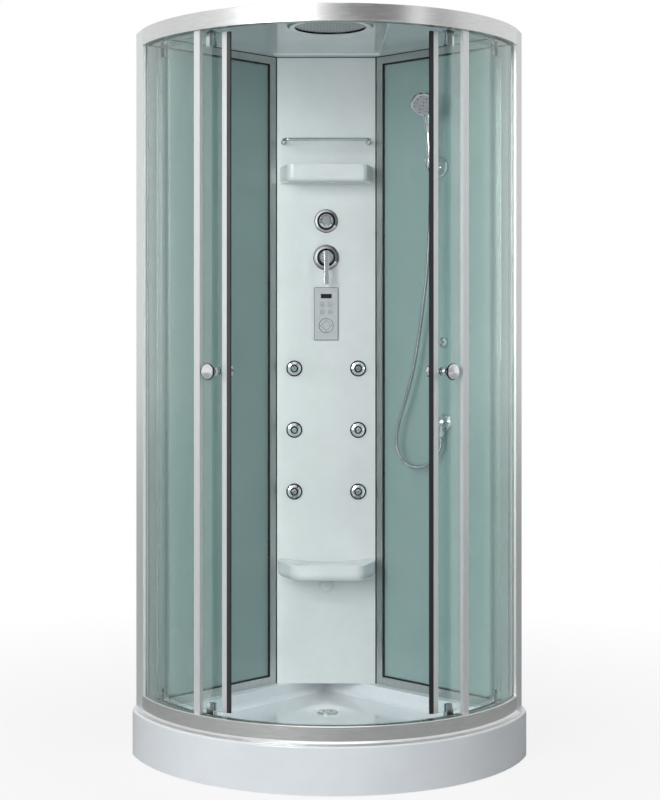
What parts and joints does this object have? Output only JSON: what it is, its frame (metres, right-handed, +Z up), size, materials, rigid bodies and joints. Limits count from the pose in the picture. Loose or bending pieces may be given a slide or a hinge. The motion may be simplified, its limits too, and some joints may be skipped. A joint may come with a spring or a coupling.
{
  "type": "steam shower cabin",
  "caption": "Quarter-round steam shower cabin with curved sliding glass doors, white tray, rear fittings column, body jets, overhead and hand shower.",
  "frame": {"origin": "on the floor under the middle of the cabin's bounding box", "axes": "+Z up, -Y towards the doors, +X to the right when facing the doors"},
  "size_m": [1.126, 1.0286, 2.15],
  "materials": {
    "acrylic_white": "gloss",
    "column_white": "gloss",
    "satin_aluminium": "satin",
    "clear_glass": "gloss",
    "back_glass": "gloss",
    "black_seal": "matte",
    "chrome": "gloss",
    "chromed_plastic": "chrome plated",
    "valve_brass": "satin",
    "grey_plastic": "satin",
    "black_plastic": "gloss",
    "pipe_plastic": "matte",
    "drain_plastic": "matte",
    "frame_steel": "satin",
    "zinc_steel": "satin",
    "roller_plastic": "satin",
    "generator_steel": "satin",
    "face_plastic": "satin"
  },
  "bodies": {
    "cabin": {"back_frames": "satin_aluminium", "back_glass_panels": "back_glass", "bottom_rail": "satin_aluminium", "ceiling_panel": "acrylic_white", "column_panel": "column_white", "control_unit": "grey_plastic", "display_window": "black_plastic", "drain_trap": "drain_plastic", "fixed_glass_panels": "clear_glass", "fixed_trims": "satin_aluminium", "foot_levellers": "zinc_steel", "glass_gaskets": "black_seal", "jambs": "satin_aluminium", "jet_bodies": "chrome", "outlet_elbow": "chrome", "overhead_shower": "chrome", "roof_cover": "acrylic_white", "roof_screws": "zinc_steel", "service_pipes": "pipe_plastic", "steam_generator": "generator_steel", "top_rail": "satin_aluminium", "towel_rail": "chrome", "tray": "acrylic_white", "tray_frame": "frame_steel", "valve_body": "valve_brass", "valve_escutcheons": "chrome", "wall_holders": "chrome"},
    "left_door": {"left_door_glass": "clear_glass", "left_door_strip": "satin_aluminium", "left_door_seal": "black_seal", "left_door_knob": "chrome", "left_door_brackets": "chrome"},
    "right_door": {"right_door_glass": "clear_glass", "right_door_strip": "satin_aluminium", "right_door_seal": "black_seal", "right_door_knob": "chrome", "right_door_brackets": "chrome"},
    "left_roller_1": {"left_wheel_1": "roller_plastic"},
    "left_roller_2": {"left_wheel_2": "roller_plastic"},
    "right_roller_1": {"right_wheel_1": "roller_plastic"},
    "right_roller_2": {"right_wheel_2": "roller_plastic"},
    "mixer_turner": {"mixer_hub": "chrome"},
    "mixer_handle": {"mixer_lever": "chrome"},
    "diverter": {"diverter_knob": "chrome"},
    "button_1": {"key_1": "grey_plastic"},
    "button_2": {"key_2": "grey_plastic"},
    "button_3": {"key_3": "grey_plastic"},
    "button_4": {"key_4": "grey_plastic"},
    "button_pad": {"key_pad": "grey_plastic"},
    "handset_holder": {"holder_arm": "chromed_plastic", "handset_body": "chromed_plastic", "handset_face": "face_plastic", "shower_hose": "chrome"},
    "drain_lid": {"drain_cover": "chrome"},
    "jet_1": {"jet_nozzle_1": "chrome"},
    "jet_2": {"jet_nozzle_2": "chrome"},
    "jet_3": {"jet_nozzle_3": "chrome"},
    "jet_4": {"jet_nozzle_4": "chrome"},
    "jet_5": {"jet_nozzle_5": "chrome"},
    "jet_6": {"jet_nozzle_6": "chrome"}
  },
  "joints": [
    {"name": "left_door_slide", "type": "hinge", "parent": "cabin", "child": "left_door", "pos_m": [0, 0.0757, 1.1], "axis": [0, 0, 1], "range_deg": [0, 31.76]},
    {"name": "right_door_slide", "type": "hinge", "parent": "cabin", "child": "right_door", "pos_m": [0, 0.0757, 1.1], "axis": [0, 0, 1], "range_deg": [-30.79, 0]},
    {"name": "left_roller_1_turn", "type": "hinge", "parent": "left_door", "child": "left_roller_1", "pos_m": [-0.32084, -0.31881, 2.0513], "axis": [-0.6309, -0.7758, 0], "range_deg": [-1500, 1500]},
    {"name": "left_roller_2_turn", "type": "hinge", "parent": "left_door", "child": "left_roller_2", "pos_m": [-0.45633, -0.14865, 2.0513], "axis": [-0.8974, -0.4412, 0], "range_deg": [-1500, 1500]},
    {"name": "right_roller_1_turn", "type": "hinge", "parent": "right_door", "child": "right_roller_1", "pos_m": [0.31411, -0.32418, 2.0513], "axis": [0.6177, -0.7864, 0], "range_deg": [-1500, 1500]},
    {"name": "right_roller_2_turn", "type": "hinge", "parent": "right_door", "child": "right_roller_2", "pos_m": [0.45247, -0.15634, 2.0513], "axis": [0.8898, -0.4563, 0], "range_deg": [-1500, 1500]},
    {"name": "mixer_turn", "type": "hinge", "parent": "cabin", "child": "mixer_turner", "pos_m": [0, 0.3126, 1.4426], "axis": [0, 1, 0], "range_deg": [-50, 50]},
    {"name": "mixer_lift", "type": "hinge", "parent": "mixer_turner", "child": "mixer_handle", "pos_m": [0, 0.2956, 1.4426], "axis": [-1, 0, 0], "range_deg": [0, 18]},
    {"name": "diverter_turn", "type": "hinge", "parent": "cabin", "child": "diverter", "pos_m": [0, 0.3126, 1.5565], "axis": [0, 1, 0], "range_deg": [-90, 90]},
    {"name": "button_1_press", "type": "slide", "parent": "cabin", "child": "button_1", "axis": [0, 1, 0], "range_m": [0, 0.001], "stiffness_N_per_m": 400, "springref_m": -0.0005},
    {"name": "button_2_press", "type": "slide", "parent": "cabin", "child": "button_2", "axis": [0, 1, 0], "range_m": [0, 0.001], "stiffness_N_per_m": 400, "springref_m": -0.0005},
    {"name": "button_3_press", "type": "slide", "parent": "cabin", "child": "button_3", "axis": [0, 1, 0], "range_m": [0, 0.001], "stiffness_N_per_m": 400, "springref_m": -0.0005},
    {"name": "button_4_press", "type": "slide", "parent": "cabin", "child": "button_4", "axis": [0, 1, 0], "range_m": [0, 0.001], "stiffness_N_per_m": 400, "springref_m": -0.0005},
    {"name": "button_pad_press", "type": "slide", "parent": "cabin", "child": "button_pad", "axis": [0, 1, 0], "range_m": [0, 0.001], "stiffness_N_per_m": 500, "springref_m": -0.0005},
    {"name": "jet_1_tilt", "type": "hinge", "parent": "cabin", "child": "jet_1", "pos_m": [-0.0995, 0.318, 1.0967], "axis": [1, 0, 0], "range_deg": [-12, 12]},
    {"name": "jet_2_tilt", "type": "hinge", "parent": "cabin", "child": "jet_2", "pos_m": [0.0995, 0.318, 1.0967], "axis": [1, 0, 0], "range_deg": [-12, 12]},
    {"name": "jet_3_tilt", "type": "hinge", "parent": "cabin", "child": "jet_3", "pos_m": [-0.0995, 0.318, 0.9052], "axis": [1, 0, 0], "range_deg": [-12, 12]},
    {"name": "jet_4_tilt", "type": "hinge", "parent": "cabin", "child": "jet_4", "pos_m": [0.0995, 0.318, 0.9052], "axis": [1, 0, 0], "range_deg": [-12, 12]},
    {"name": "jet_5_tilt", "type": "hinge", "parent": "cabin", "child": "jet_5", "pos_m": [-0.0995, 0.318, 0.7128], "axis": [1, 0, 0], "range_deg": [-12, 12]},
    {"name": "jet_6_tilt", "type": "hinge", "parent": "cabin", "child": "jet_6", "pos_m": [0.0995, 0.318, 0.7128], "axis": [1, 0, 0], "range_deg": [-12, 12]},
    {"name": "holder_tilt", "type": "hinge", "parent": "cabin", "child": "handset_holder", "pos_m": [0.31961, 0.11832, 1.7064], "axis": [0.7071, -0.7071, 0], "range_deg": [-5, 20], "deforming": ["shower_hose"]},
    {"name": "drain_lid_lift", "type": "slide", "parent": "cabin", "child": "drain_lid", "axis": [0, 0, 1], "range_m": [0, 0.06]}
  ],
  "couplings": [
    {"joint": "left_roller_1_turn", "follows": "left_door_slide", "ratio": -46.236},
    {"joint": "left_roller_2_turn", "follows": "left_door_slide", "ratio": -46.236},
    {"joint": "right_roller_1_turn", "follows": "right_door_slide", "ratio": -46.236},
    {"joint": "right_roller_2_turn", "follows": "right_door_slide", "ratio": -46.236}
  ]
}
